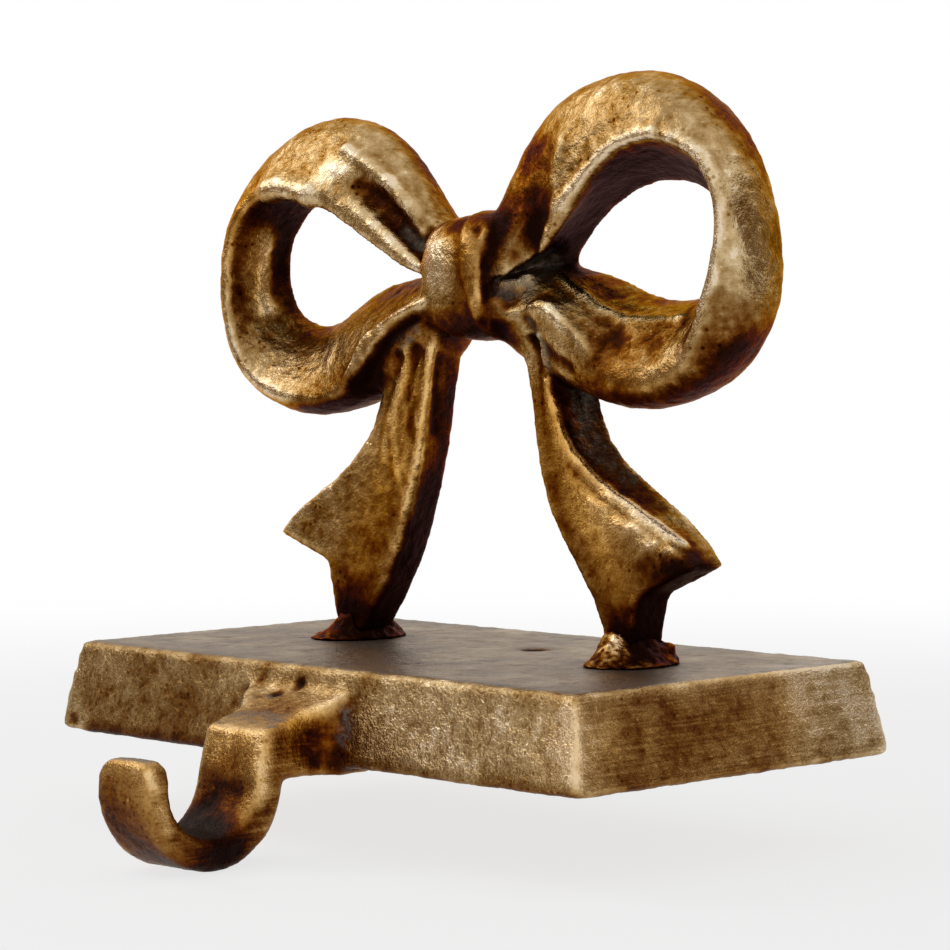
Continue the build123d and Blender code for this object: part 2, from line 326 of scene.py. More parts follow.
@dataclass(frozen=True)
class AgedBrass:
    """Brass gone brown, rubbed bright on what stands out and dark in what lies back, as patina and painted
    shade.
    """

    name: str
    # Colours: brass from rubbed bright to black, also used for the coat's painted shade and highlights, the
    # coats on it, and its gloss.
    stops: tuple[tuple[float, Colour], ...] = (
        (0.0, (0.76, 0.61, 0.42)),
        (0.12, (0.58, 0.42, 0.22)),
        (0.25, (0.43, 0.285, 0.13)),
        (0.38, (0.3, 0.175, 0.062)),
        (0.5, (0.2, 0.09, 0.02)),
        (0.62, (0.12, 0.036, 0.004)),
        (0.75, (0.055, 0.011, 0.001)),
        (0.88, (0.024, 0.005, 0.001)),
        (1.0, (0.01, 0.002, 0.001)),
    )
    copper: Colour = (1.0, 0.68, 0.2)
    residue: Colour = (0.13, 0.108, 0.08)
    tint: Colour = (0.8, 0.42, 0.16)
    # Marks: width or spacing in millimetres, octaves of finer noise, and share of the patina.
    blotch: float = 7.0
    blotch_octaves: float = 9.0
    blotch_roughness: float = 0.54
    blotch_share: float = 0.75
    speck: float = 0.36
    speck_octaves: float = 3.0
    speck_share: float = 0.24
    brush: float = 0.3
    brush_octaves: float = 3.0
    brush_stretch: Point = (14, 14, 1)
    brush_share: float = 0.12
    pit: float = 1.3
    pit_spread: float = 0.3
    pit_patch_octaves: float = 2.0
    pit_patches: Range = (-0.05, 0.15)
    pit_share: float = 0.3
    # Glints are painted glints: bright specks that lighten the colour as highlights.
    glint: float = 1.5
    glint_spread: float = 0.16
    glint_share: float = 0.16
    residue_octaves: float = 5.0
    residue_roughness: float = 0.75
    residue_break: float = 4.0
    residue_range: Range = (0.25, 1.0)
    residue_share: float = 0.7
    # Surface: how rough it is, the crust that hides the metal, and relief in millimetres.
    polish: float = 0.15
    least_roughness: float = 0.18
    dullness: float = 0.29
    speck_dullness: float = 0.2
    crust: float = 0.5
    crust_range: Range = (0.4, 1.0)
    relief: float = 0.26
    fine_relief: float = 0.38
    relief_octaves: float = 4.0
    relief_detail: float = 0.5

    def material(self) -> bpy.types.Material:
        """Makes the finish.

        Returns:
            The finish as a material.
        """
        shader = Shader(self.name)
        patina = self.patina(shader)
        colour = self.colour(shader, patina)
        fine = shader.grain(self.speck, self.speck_octaves)
        roughness = self.dulled(shader, patina) + fine * self.speck_dullness
        metallic = 1 - patina.step(*self.crust_range) * self.crust
        coarse = shader.grain(self.pit, self.relief_octaves, roughness=self.relief_detail)
        height = fine * self.fine_relief + coarse
        roughness = roughness.at_least(self.least_roughness)
        shader.finish(colour, roughness, metallic, height, self.relief, self.tint)
        return shader.material

    def dulled(self, shader: Shader, patina: Value) -> Value:
        """How rough the brass is under its patina."""
        return self.polish + patina * self.dullness

    def patina(self, shader: Shader) -> Value:
        """How dark the brass is, from the coat on the mesh with its painted shade, its blotches, specks and
        pits, less painted glints.

        Args:
            shader: The graph to add to.

        Returns:
            0 on bright brass to 1 in black recesses.
        """
        blotches = shader.grain(self.blotch, self.blotch_octaves, roughness=self.blotch_roughness)
        specks = shader.grain(self.speck, self.speck_octaves)
        brushing = shader.grain(self.brush, self.brush_octaves, self.brush_stretch)
        patches = shader.grain(self.blotch, self.pit_patch_octaves).step(*self.pit_patches)
        pits = shader.specks(self.pit, self.pit_spread) * patches
        glints = shader.specks(self.glint, self.glint_spread)
        patina = shader.coat(Coat.PATINA_AND_SHADE) + blotches * self.blotch_share + specks * self.speck_share
        return patina + brushing * self.brush_share + pits * self.pit_share - glints * self.glint_share

    def colour(self, shader: Shader, patina: Value) -> bpy.types.NodeSocket:
        """The brass's colour under its patina, coppery in places, with grey residue over it.

        Args:
            shader: The graph to add to.
            patina: How dark the brass is.

        Returns:
            The base colour.
        """
        brass = shader.node("ShaderNodeValToRGB", {"stops": list(self.stops)}, {0: patina}).outputs[0]
        brass = shader.mix(shader.coat(Coat.COPPER), brass, self.copper, "MULTIPLY")
        broken = shader.grain(self.pit, self.residue_octaves, roughness=self.residue_roughness)
        residue = shader.coat(Coat.RESIDUE) * (1 + broken * self.residue_break)
        return shader.mix(residue.step(*self.residue_range) * self.residue_share, brass, self.residue)


@dataclass(frozen=True)
class SlabBrass(AgedBrass):
    """Slab finish: cast grit on the front, a ground grey top and sides dressed with a file."""

    # The ground top, file strokes on the ends, then grit and painted glints on the front.
    ground: Colour = (0.2, 0.172, 0.15)
    ground_range: Range = (0.1, 0.45)
    ground_octaves: float = 6.0
    ground_share: float = 0.8
    ground_dullness: float = 0.14
    scratch: float = 0.35
    scratch_octaves: float = 3.0
    scratch_stretch: Point = (1, 34, 1)
    scratch_share: float = 0.6
    grit: float = 0.9
    grit_spread: float = 0.4
    grit_share: float = 0.14
    front_glint: float = 2.07
    front_glint_share: float = 0.2
    # How far a face is turned along an axis to count as the top, an end or the front.
    top_facing: Range = (0.93, 0.99)
    end_facing: Range = (0.8, 0.95)
    front_facing: Range = (-0.9, -0.7)

    def dulled(self, shader: Shader, patina: Value) -> Value:
        """How rough the brass is, with the ground top matt."""
        return super().dulled(shader, patina) + self.top(shader) * self.ground_dullness

    def top(self, shader: Shader) -> Value:
        """1 on the slab's top and 0 on its sides."""
        return shader.facing("Z").step(*self.top_facing)

    def patina(self, shader: Shader) -> Value:
        """Patina with file strokes along the ends, grit on the front and hook, and painted glints on the
        front.

        Args:
            shader: The graph to add to.

        Returns:
            0 on bright brass to 1 in black recesses.
        """
        end = shader.facing("X").step(*self.end_facing)
        front = 1 - shader.facing("Y").step(*self.front_facing)
        strokes = shader.grain(self.scratch, self.scratch_octaves, self.scratch_stretch) * end
        grit = shader.specks(self.grit, self.grit_spread) * front
        glints = shader.specks(self.front_glint, self.glint_spread) * front
        dressed = strokes * self.scratch_share + grit * self.grit_share - glints * self.front_glint_share
        return super().patina(shader) + dressed

    def colour(self, shader: Shader, patina: Value) -> bpy.types.NodeSocket:
        """Brass with the ground top greyer than the rest.

        Args:
            shader: The graph to add to.
            patina: How dark the brass is.

        Returns:
            The base colour.
        """
        brass = super().colour(shader, patina)
        bare = self.top(shader) * (1 - patina).step(*self.ground_range)
        share = bare * (self.ground_share + shader.grain(self.blotch, self.ground_octaves))
        return shader.mix(share, brass, self.ground)


class Skin:
    """The points of a casting's mesh as arrays in millimetres, for work all over its surface."""

    NOISE_FADE = 0.9
    NOISE_GAP = 2.0
    NOISE_OCTAVES = 3

    def __init__(self, mesh: bpy.types.Mesh) -> None:
        """Reads the mesh.

        Args:
            mesh: The casting's mesh.
        """
        self.mesh = mesh
        points = np.empty(len(mesh.vertices) * 3)
        mesh.vertices.foreach_get("co", points)
        self.points = points.reshape(-1, 3) / MM
        edges = np.empty(len(mesh.edges) * 2, np.int64)
        mesh.edges.foreach_get("vertices", edges)
        self.first, self.second = edges.reshape(-1, 2).T
        self.reach = np.bincount(edges, minlength=len(self.points)).astype(float)

    def normals(self) -> np.ndarray:
        """Reads which way the surface faces.

        Returns:
            The outward direction at each point.
        """
        flat = np.empty(len(self.points) * 3, np.float32)
        self.mesh.vertex_normals.foreach_get("vector", flat)
        return flat.reshape(-1, 3).astype(float)

    def around(self, values: np.ndarray) -> np.ndarray:
        """Mean over each point's neighbours.

        Args:
            values: One row for each point.

        Returns:
            The means, in the same shape.
        """
        columns = values.reshape(len(self.points), -1)
        means = np.empty_like(columns)
        for index, column in enumerate(columns.T):
            total = np.bincount(self.first, column[self.second], len(column))
            total += np.bincount(self.second, column[self.first], len(column))
            means[:, index] = total / self.reach
        return means.reshape(values.shape)

    def softened(self, values: np.ndarray, rounds: int) -> np.ndarray:
        """Smooths values over the surface.

        Args:
            values: One row for each point.
            rounds: Times that each point goes halfway to its neighbours' mean.

        Returns:
            The smoothed values, in the same shape.
        """
        for _ in range(rounds):
            values = 0.5 * values + 0.5 * self.around(values)
        return values

    def bulge(self, rounds: int) -> np.ndarray:
        """How far each point stands out of the smoothed surface, in millimetres."""
        away = self.points - self.softened(self.points, rounds)
        return np.einsum("ij,ij->i", away, self.normals())

    def move(self, points: np.ndarray) -> None:
        """Writes new points to the mesh.

        Args:
            points: The points in millimetres.
        """
        self.points = points
        self.mesh.vertices.foreach_set("co", (points * MM).ravel())
        self.mesh.update()

    def lift(self, heights: np.ndarray) -> None:
        """Moves each point outwards by its height in millimetres."""
        self.move(self.points + self.normals() * heights[:, None])

    def lay(self, coat: Coat, amounts: np.ndarray) -> None:
        """Keeps a coat's amount at each point as a mesh attribute."""
        attribute = self.mesh.attributes.new(coat.value, "FLOAT", "POINT")
        attribute.data.foreach_set("value", amounts.astype(np.float32))

    def rough(self, size: float) -> np.ndarray:
        """Even noise over the points.

        Args:
            size: Width of a lump in millimetres.

        Returns:
            Noise from about -1 to 1 at each point.
        """
        shape = (self.NOISE_FADE, self.NOISE_GAP, self.NOISE_OCTAVES)
        return np.array([noise.fractal(Vector(point) / size, *shape) for point in self.points])


@dataclass(frozen=True)
class Stroke:
    """A soft line worked into a casting: height in millimetres, or an amount of a coat."""

    points: Line
    amount: float
    width: float

    def line(self, steps: int = 8) -> np.ndarray:
        """The stroke's points joined by a smooth curve.

        Args:
            steps: Points on each run between two of the stroke's own.

        Returns:
            Points along the curve.
        """
        stops = np.array(self.points, float)
        if len(stops) < 3:
            return stops
        padded = np.vstack([2 * stops[0] - stops[1], stops, 2 * stops[-1] - stops[-2]])
        curve = [stops[0]]
        for before, start, end, after in zip(padded, padded[1:], padded[2:], padded[3:]):
            for share in np.linspace(0, 1, steps + 1)[1:]:
                bend = 2 * before - 5 * start + 4 * end - after
                swing = 3 * start - before - 3 * end + after
                curve.append(start + 0.5 * share * (end - before + share * (bend + share * swing)))
        return np.array(curve)

    def over(self, places: np.ndarray) -> np.ndarray:
        """The stroke's effect, full on its line and fading to both sides.

        Args:
            places: Points in millimetres.

        Returns:
            The amount at each point.
        """
        line = self.line()
        nearest = np.full(len(places), np.inf)
        if len(line) == 1:
            nearest = np.linalg.norm(places - line[0], axis=1)
        for start, end in zip(line, line[1:]):
            run = end - start
            along = np.clip((places - start) @ run / (run @ run), 0, 1)
            nearest = np.minimum(nearest, np.linalg.norm(places - start - along[:, None] * run, axis=1))
        return self.amount * np.exp(-((nearest / self.width) ** 2))

    @staticmethod
    def together(strokes: "tuple[Stroke, ...]", places: np.ndarray) -> np.ndarray:
        """Adds up the effects of strokes.

        Args:
            strokes: The strokes.
            places: Points in millimetres.

        Returns:
            The whole amount at each point.
        """
        total = np.zeros(len(places))
        for stroke in strokes:
            total += stroke.over(places)
        return total


@dataclass
class Casting:
    """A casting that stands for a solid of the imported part."""

    node: str
    finish: AgedBrass
    # Skin: its even step, rounds of smoothing, then cast lumps and grit.
    voxel: float
    smoothing: int
    smoothing_factor: float = 0.5
    lump_height: float = 0.08
    lump_size: float = 3.0
    grit_height: float = 0.025
    grit_size: float = 0.7
    # Work by hand: strokes in the surface, then coats on it. Some tone strokes are painted shade and painted
    # highlights rather than stains.
    strokes: tuple[Stroke, ...] = ()
    tone_strokes: tuple[Stroke, ...] = ()
    coppers: tuple[Stroke, ...] = ()
    residues: tuple[Stroke, ...] = ()
    stroke_softening: int = 3
    # Patina and painted shade: painted shade where the castings close a point in, patina in hollows, worn
    # bright on crests, and buffed and painted lighter on the side towards the soft box.
    base_patina: float = 0.45
    shade: float = 0.6
    shade_softening: int = 2
    cavity: float = 0.5
    wear: float = 0.4
    wear_patch: float = 2.5
    wear_even: float = 0.7
    wear_swing: float = 0.6
    near_rounds: int = 8
    near_height: float = 0.08
    near_share: float = 0.7
    wide_rounds: int = 60
    wide_height: float = 0.5
    buffing_and_painted_light: float = 0.2
    buffed_and_lit_from: Point = (-0.55, -0.5, 0.67)
    patina_range: Range = (-0.1, 1.1)

    def build(self) -> bpy.types.Object:
        """Models the casting over its solid.

        Returns:
            The casting's object.
        """
        piece = self.copy_solid()
        skin = Skin(piece.data)
        self.work(skin)
        low, high = (np.array(corner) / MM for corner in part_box(self.node))
        skin.move(np.clip(skin.points, low, high))
        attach(piece, BODY)
        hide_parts(self.node)
        log.info("%s: %d points", piece.name, len(skin.points))
        return piece

    def copy_solid(self) -> bpy.types.Object:
        """Copies the solid's mesh and brings it to an even, softened skin.

        Returns:
            A new object at the origin.
        """
        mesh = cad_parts[self.node].data.copy()
        mesh.name = f"cast_{self.node}"
        mesh.materials.clear()
        shape = bmesh.new()
        shape.from_mesh(mesh)
        bmesh.ops.remove_doubles(shape, verts=shape.verts, dist=MERGE_DISTANCE * MM)
        shape.to_mesh(mesh)
        piece = bpy.data.objects.new(f"cast_{self.node}", mesh)
        bpy.context.scene.collection.objects.link(piece)
        remesh = piece.modifiers.new("even_skin", "REMESH")
        remesh.mode = "VOXEL"
        remesh.voxel_size = self.voxel * MM
        evaluated = piece.evaluated_get(bpy.context.evaluated_depsgraph_get())
        even = bpy.data.meshes.new_from_object(evaluated)
        piece.modifiers.clear()
        shape.clear()
        shape.from_mesh(even)
        for _ in range(self.smoothing):
            bmesh.ops.smooth_vert(
                shape,
                verts=shape.verts,
                factor=self.smoothing_factor,
                use_axis_x=True,
                use_axis_y=True,
                use_axis_z=True,
            )
        shape.to_mesh(even)
        shape.free()
        even.name = mesh.name
        piece.data = even
        even.shade_smooth()
        bpy.data.meshes.remove(mesh)
        return piece

    def work(self, skin: Skin) -> None:
        """Works the folds and the cast surface into the skin.

        Args:
            skin: The casting's points.
        """
        heights = Stroke.together(self.strokes, skin.points)
        skin.lift(skin.softened(heights, self.stroke_softening))
        lumps = skin.rough(self.lump_size) * self.lump_height
        skin.lift(lumps + skin.rough(self.grit_size) * self.grit_height)

    def dress(self, piece: bpy.types.Object, shelter: "Shelter") -> None:
        """Lays the patina with its painted shade and light on the casting, and gives it its finish.

        Args:
            piece: The casting's object.
            shelter: What stands around it.
        """
        skin = Skin(piece.data)
        skin.lay(Coat.PATINA_AND_SHADE, self.patina(skin, shelter))
        for coat, tone_strokes in ((Coat.COPPER, self.coppers), (Coat.RESIDUE, self.residues)):
            skin.lay(coat, np.clip(Stroke.together(tone_strokes, skin.points), 0, 1))
        piece.data.materials.append(self.finish.material())
        log.info("%s: dressed as %s", piece.name, self.finish.name)

    def patina(self, skin: Skin, shelter: "Shelter") -> np.ndarray:
        """How dark the brass is at each point: painted shade where the castings close it in, patina in
        hollows, worn edges, a side painted lighter as if lit and buffed, and tone strokes.

        Args:
            skin: The casting's points.
            shelter: What stands around it.

        Returns:
            Patina from 0 to 1 and a little beyond.
        """
        normals = skin.normals()
        closed = skin.softened(shelter.closed(skin.points, normals), self.shade_softening)
        near = np.clip(skin.bulge(self.near_rounds) / self.near_height, -1, 1)
        wide = np.clip(skin.bulge(self.wide_rounds) / self.wide_height, -1, 1)
        hollow = np.clip(-(near + wide) / 2, 0, 1)
        crest = np.clip(self.near_share * near + (1 - self.near_share) * wide, 0, 1)
        crest *= self.wear_even + self.wear_swing * skin.rough(self.wear_patch)
        # Painted shade where the castings close a point in, patina in hollows, and wear on crests.
        amount = self.base_patina + self.shade * closed + self.cavity * hollow - self.wear * crest
        # Faces turned towards the soft box are painted lighter and faces turned away darker: painted light,
        # and buffing.
        amount -= self.buffing_and_painted_light * (normals @ np.array(self.buffed_and_lit_from))
        # Tone strokes: stains, and in places painted shade and painted highlights.
        amount += Stroke.together(self.tone_strokes, skin.points)
        return np.clip(amount, *self.patina_range)


class Shelter:
    """How closed in a point of the object is by the castings around it."""

    # Rays from each point, their reach and their start off the surface in millimetres.
    RAYS = 20
    DISTANCE = 22.0
    START = 0.15
    GOLDEN_TURN = math.pi * (3 - math.sqrt(5))

    def __init__(self, pieces: list[bpy.types.Object]) -> None:
        """Joins the pieces into one search tree and spreads a fan of rays.

        Args:
            pieces: The castings' objects.
        """
        points: list[Vector] = []
        faces: list[tuple[int, ...]] = []
        for piece in pieces:
            start = len(points)
            points += [vertex.co / MM for vertex in piece.data.vertices]
            faces += [tuple(start + i for i in face.vertices) for face in piece.data.polygons]
        self.tree = BVHTree.FromPolygons(points, faces)
        turns = [self.GOLDEN_TURN * step for step in range(self.RAYS)]
        heights = [math.sqrt((step + 0.5) / self.RAYS) for step in range(self.RAYS)]
        self.fan = [
            Vector((math.cos(turn) * math.sqrt(1 - up * up), math.sin(turn) * math.sqrt(1 - up * up), up))
            for turn, up in zip(turns, heights)
        ]

    def closed(self, points: np.ndarray, normals: np.ndarray) -> np.ndarray:
        """Share of each point's outlook that is blocked.

        Args:
            points: Points in millimetres.
            normals: The outward direction at each.

        Returns:
            0 in the open to 1 deep in a recess.
        """
        blocked = np.zeros(len(points))
        for index, (point, normal) in enumerate(zip(points, normals)):
            up = Vector(normal)
            turn = up.to_track_quat("Z", "Y")
            start = Vector(point) + up * self.START
            hits = [self.tree.ray_cast(start, turn @ ray, self.DISTANCE)[0] for ray in self.fan]
            blocked[index] = sum(hit is not None for hit in hits) / self.RAYS
        return blocked


BOW_BRASS = AgedBrass("aged_bow_brass")
SLAB_BRASS = SlabBrass(
    "aged_slab_brass",
    pit_share=0.18,
    residue=(0.2, 0.17, 0.145),
    tint=(0.8, 0.73, 0.66),
    fine_relief=0.65,
    relief_detail=0.58,
)
BRAZE_METAL = AgedBrass("dark_braze", relief=0.18)

# Lines of the bow that more than one stroke follows.
RIGHT_LIP: Line = ((18.3, -2.5, 66.6), (22.3, -2.4, 72.7), (31.3, -2.5, 79.2), (37.8, -2.5, 80.7))
RIGHT_UPPER_FOLD: Line = ((14.0, 0.6, 79.0), (13.6, -0.6, 73.6), (17.0, -2.1, 69.6))
RIGHT_UNDERSIDE: Line = ((28.9, -2.5, 48.4), (37.2, -1.9, 46.4), (43.7, -0.5, 47.9), (49.0, 2.6, 52.0))


@dataclass
class RibbonBow(Casting):
    """The bow: knot, two loops and two tails, one casting with soft folds."""

    node: str = "ribbon_bow"
    finish: AgedBrass = BOW_BRASS
    voxel: float = 0.42
    smoothing: int = 8
    lump_height: float = 0.12
    lump_size: float = 2.4
    strokes: tuple[Stroke, ...] = (
        # Left loop: the band's crest, the valley and ridge behind it, the lip and the inner wall.
        Stroke(((-27.3, -2.2, 75.6), (-17.5, -2.0, 71.7), (-6.9, -2.2, 65.4)), 0.4, 1.3),
        Stroke(((-18.8, -0.3, 75.9), (-13.7, 0.2, 71.7), (-8.3, 0.3, 67.3)), -0.3, 1.4),
        Stroke(((-22.5, 0.3, 81.0), (-14.0, 0.4, 76.2), (-8.1, 1.3, 69.1)), 0.8, 1.0),
        Stroke(((-27.3, -2.2, 75.6), (-22.4, -0.7, 78.4)), 0.4, 2.6),
        Stroke(((-37.0, -1.5, 75.2), (-33.0, -2.0, 75.6), (-28.5, -2.5, 74.2)), 1.2, 2.0),
        Stroke(((-43.5, 3.5, 68.8), (-44.8, 3.7, 63.7), (-44.1, 3.1, 58.7)), 0.5, 1.3),
        # Left loop's lower arm: the rolled fold, the groove under it and the band at the back.
        Stroke(
            ((-3.7, -3.1, 59.4), (-9.8, -2.6, 57.5), (-16.1, -1.8, 55.0), (-20.3, -2.4, 48.0)), 0.7, 0.75
        ),
        Stroke(((-5.9, -2.5, 56.6), (-12.0, -1.9, 53.8), (-17.2, -0.8, 48.2)), -1.0, 1.1),
        Stroke(((-4.5, 1.5, 61.0), (-12.0, 2.5, 58.6), (-20.0, 3.0, 55.6)), 0.35, 1.1),
        # Right loop: the upright fold, the lip and the hollow at the knot.
        Stroke(((20.6, -0.9, 80.5), (20.5, -1.5, 76.7), (20.7, -2.1, 72.5)), 0.5, 1.5),
        Stroke(RIGHT_LIP, 0.4, 0.8),
        Stroke(((37.8, -2.5, 80.7), (45.6, -2.4, 78.2), (49.2, -2.4, 71.4), (48.1, -2.3, 61.5)), 0.4, 0.8),
        Stroke(((16.2, -1.5, 72.9), (15.8, -2.4, 65.7)), -0.4, 1.6),
        # Right loop's lower arm: its crest, its root, the hollow below and the fold by the knot.
        Stroke(((16.1, 2.9, 63.1), (21.2, 1.7, 60.8), (26.0, 1.5, 58.4), (39.1, 1.6, 57.4)), 0.55, 0.9),
        Stroke(((12.0, 2.0, 64.3), (14.2, 4.8, 65.4)), 0.7, 1.0),
        Stroke(((9.4, -0.6, 61.9), (12.6, 1.2, 62.6)), 1.0, 1.3),
        Stroke(((29.9, -0.4, 54.6),), -0.6, 2.0),
        Stroke(((14.0, -2.5, 61.4), (17.7, -2.3, 59.5), (23.9, -2.1, 55.5), (26.7, -2.0, 53.0)), 0.55, 0.9),
        Stroke(((14.5, -2.1, 58.4), (17.8, -1.4, 53.4), (22.5, -1.7, 50.8)), -0.6, 1.0),
        # Knot: the crease down its right side.
        Stroke(((6.6, -2.9, 69.2), (8.0, -3.2, 65.1), (8.2, -3.0, 59.8), (7.6, -2.6, 56.0)), -0.4, 0.8),
        # Left tail: grooves, then pleats.
        Stroke(((-8.3, 0.1, 53.4), (-9.4, -0.2, 46.0), (-9.0, -0.2, 41.0)), -0.32, 0.8),
        Stroke(((-5.1, 1.0, 51.5), (-7.1, 2.2, 42.1)), -0.4, 0.9),
        Stroke(
            ((-9.9, -0.6, 53.1), (-11.9, -0.2, 47.6), (-12.6, -0.2, 42.0), (-12.0, -0.2, 36.5)), 0.42, 0.65
        ),
        Stroke(((-5.4, -0.2, 53.1), (-7.5, -0.2, 42.1), (-8.9, 0.2, 36.6), (-10.6, -0.2, 31.0)), 0.45, 0.65),
        Stroke(((-10.4, -0.2, 45.0), (-11.0, -0.2, 40.0), (-9.8, -0.2, 36.0)), 0.25, 0.7),
        Stroke(((-7.6, -0.2, 51.5), (-8.7, -0.2, 48.4), (-9.3, -0.2, 45.6)), 0.35, 0.55),
        Stroke(((-8.3, -0.2, 44.2), (-9.4, -0.2, 40.6), (-10.8, -0.2, 37.4)), 0.3, 0.55),
        Stroke(((-12.6, -0.2, 46.0), (-14.4, -0.2, 41.6), (-14.6, -0.2, 38.2)), 0.3, 0.6),
        # Right tail: the front corner eased back, and the long ridge beside it.
        Stroke(((21.4, -0.1, 38.0), (26.2, -0.2, 34.3), (31.7, -0.1, 31.8), (37.6, -0.2, 29.1)), -0.6, 1.2),
        Stroke(
            ((16.6, -1.8, 55.2), (17.5, 0.1, 46.6), (20.7, 0.6, 39.6), (31.2, 1.3, 32.5), (39.4, 1.8, 28.2)),
            0.75,
            0.8,
        ),
    )
    tone_strokes: tuple[Stroke, ...] = (
        # Left loop: outside and lip, with a painted highlight on the band's crest.
        Stroke(((-41.9, 0.4, 53.6), (-33.1, 0.3, 50.1)), -0.15, 4.5),
        Stroke(((-27.3, -2.2, 75.6), (-24.9, -1.5, 77.1), (-22.3, -0.8, 78.4)), -0.3, 1.8),
        Stroke(((-42.6, -2.4, 73.4), (-44.6, -1.6, 68.8)), -0.08, 2.6),
        Stroke(((-18.2, -0.4, 75.2), (-14.4, -0.2, 71.7)), -0.2, 2.2),
        Stroke(((-36.0, 4.0, 81.0), (-27.8, 3.5, 84.6), (-17.4, 4.6, 82.2)), 0.03, 5.0),
        Stroke(((-29.0, 7.5, 85.2), (-21.0, 8.0, 84.5), (-13.0, 8.0, 78.0)), 0.35, 3.5),
        # Left loop: its inner left wall lighter, then painted shade under its top, at the back of its inside
        # and on its underside.
        Stroke(((-43.3, 2.1, 68.8), (-44.7, 2.5, 63.0), (-44.0, 3.2, 59.4)), -0.6, 2.3),
        Stroke(((-42.0, 1.0, 72.6), (-38.0, 4.9, 73.7), (-30.0, 6.0, 73.4)), 0.2, 4.0),
        Stroke(((-42.3, 6.4, 70.2), (-44.3, 7.2, 64.5), (-42.5, 7.4, 58.6)), 0.25, 2.5),
        Stroke(((-30.0, -2.0, 44.8), (-23.0, -0.9, 45.0), (-17.6, -1.2, 48.2)), 0.5, 3.0),
        # Painted shade in the groove between the left loop and the left tail.
        Stroke(((-5.9, -2.5, 56.5), (-9.8, -1.7, 54.5), (-13.6, -1.0, 51.0), (-17.4, 0.6, 47.2)), 0.35, 1.5),
        Stroke(
            ((-6.2, -2.8, 57.2), (-11.2, -2.2, 55.2), (-15.6, -1.6, 52.0), (-19.0, -1.6, 47.6)), 0.32, 0.9
        ),
        # Right loop: outside, and the lip painted lighter as wear and a painted highlight.
        Stroke(((20.0, 2.0, 85.6), (34.4, 2.1, 88.2), (44.0, 3.3, 84.1)), 0.03, 5.0),
        Stroke(((30.0, 7.0, 89.0), (42.0, 7.5, 87.0), (49.0, 7.5, 80.0)), 0.3, 4.0),
        Stroke(RIGHT_UPPER_FOLD, 0.32, 4.0),
        Stroke(((15.5, 0.2, 79.5), (17.9, -1.3, 75.5), (19.0, -2.2, 71.5)), 0.14, 2.6),
        Stroke(RIGHT_LIP, -0.3, 0.9),
        Stroke(((49.6, 2.2, 74.6), (51.1, 2.7, 69.6), (51.9, 1.5, 64.6)), -0.27, 6.0),
        Stroke(((50.1, 0.7, 57.1), (47.4, 0.0, 53.4)), 0.12, 4.0),
        # Right loop: painted shade inside, its lower arm and crest, painted shade on the underside, and the
        # recess by the knot lightened against its painted shade.
        Stroke(((17.0, 4.0, 66.5), (21.8, 4.9, 72.2), (33.7, 3.7, 77.0), (41.0, 5.8, 74.0)), 0.4, 4.5),
        Stroke(((27.6, -1.1, 54.6), (31.3, -0.3, 54.8), (36.5, -0.1, 54.6)), 0.26, 3.4),
        Stroke(((24.9, 1.7, 59.1), (30.7, 3.1, 58.2), (38.1, 2.7, 58.1)), -0.2, 1.6),
        Stroke(RIGHT_UNDERSIDE, 0.36, 3.6),
        Stroke(((12.0, 1.0, 61.8), (15.0, 2.6, 62.6), (20.0, 3.0, 61.4)), -0.35, 2.6),
        # Knot: its top, a painted highlight down its left side, its right side, and painted shade under it.
        Stroke(((0.6, -2.0, 69.8), (4.6, -1.8, 70.5), (9.3, -0.8, 70.6)), 0.5, 2.6),
        Stroke(((-1.2, -3.1, 66.6), (-0.5, -3.5, 63.2)), -0.36, 2.4),
        Stroke(((5.6, -4.1, 65.8), (6.2, -4.1, 61.8), (5.3, -2.9, 57.9)), 0.2, 2.6),
        Stroke(((9.8, -1.7, 67.8), (10.6, -2.5, 63.8), (10.7, -2.3, 59.2)), 0.35, 2.0),
        Stroke(((0.7, -2.2, 56.5), (3.4, -1.4, 55.6), (9.0, -1.4, 55.2)), 0.5, 3.0),
        # Left tail: front, pleat crests lighter as wear and painted highlights, painted shade and patina on
        # its side, and painted shade at its foot.
        Stroke(((-6.4, -0.2, 53.8), (-10.5, -0.2, 49.0), (-13.6, -0.2, 37.9)), -0.15, 4.5),
        Stroke(((-22.1, -0.2, 23.6), (-18.9, -0.2, 21.6), (-14.8, -0.2, 21.2)), -0.06, 4.0),
        Stroke(
            ((-5.2, -0.2, 53.1), (-7.5, -0.2, 42.1), (-8.6, -0.2, 36.6), (-14.0, -0.2, 24.0)), -0.22, 0.8
        ),
        Stroke(
            ((-9.7, -0.9, 53.1), (-12.6, -0.2, 42.0), (-12.0, -0.2, 36.5), (-10.6, -0.2, 32.4)), -0.22, 1.0
        ),
        Stroke(((-6.6, 4.6, 46.2), (-7.4, 4.4, 42.0), (-10.1, 4.9, 32.2)), 0.3, 3.0),
        Stroke(((-10.1, 4.9, 32.2), (-13.4, 4.2, 23.8), (-17.0, 3.7, 18.0)), 0.8, 3.4),
        Stroke(((-22.1, -0.2, 16.0), (-19.5, 3.0, 13.0)), 0.5, 4.0),
        # Right tail: front, a painted highlight along the ridge, the facet, painted shade on the face by the
        # swallow-tail notch, and painted shade at the foot.
        Stroke(((15.2, -0.2, 46.6), (16.2, -0.2, 40.0)), 0.1, 2.0),
        Stroke(((25.0, -0.2, 31.0), (28.8, -0.2, 26.1), (31.1, -0.2, 22.6)), -0.25, 3.2),
        Stroke(((17.2, -0.2, 34.8), (23.0, -0.2, 24.5)), 0.25, 2.0),
        Stroke(((17.6, 0.3, 46.7), (21.1, 0.8, 40.0), (31.6, 1.4, 33.0), (39.7, 1.8, 28.6)), -0.6, 0.6),
        Stroke(((22.5, 4.2, 41.0), (27.0, 4.4, 37.0), (31.5, 4.6, 34.0)), 0.12, 2.4),
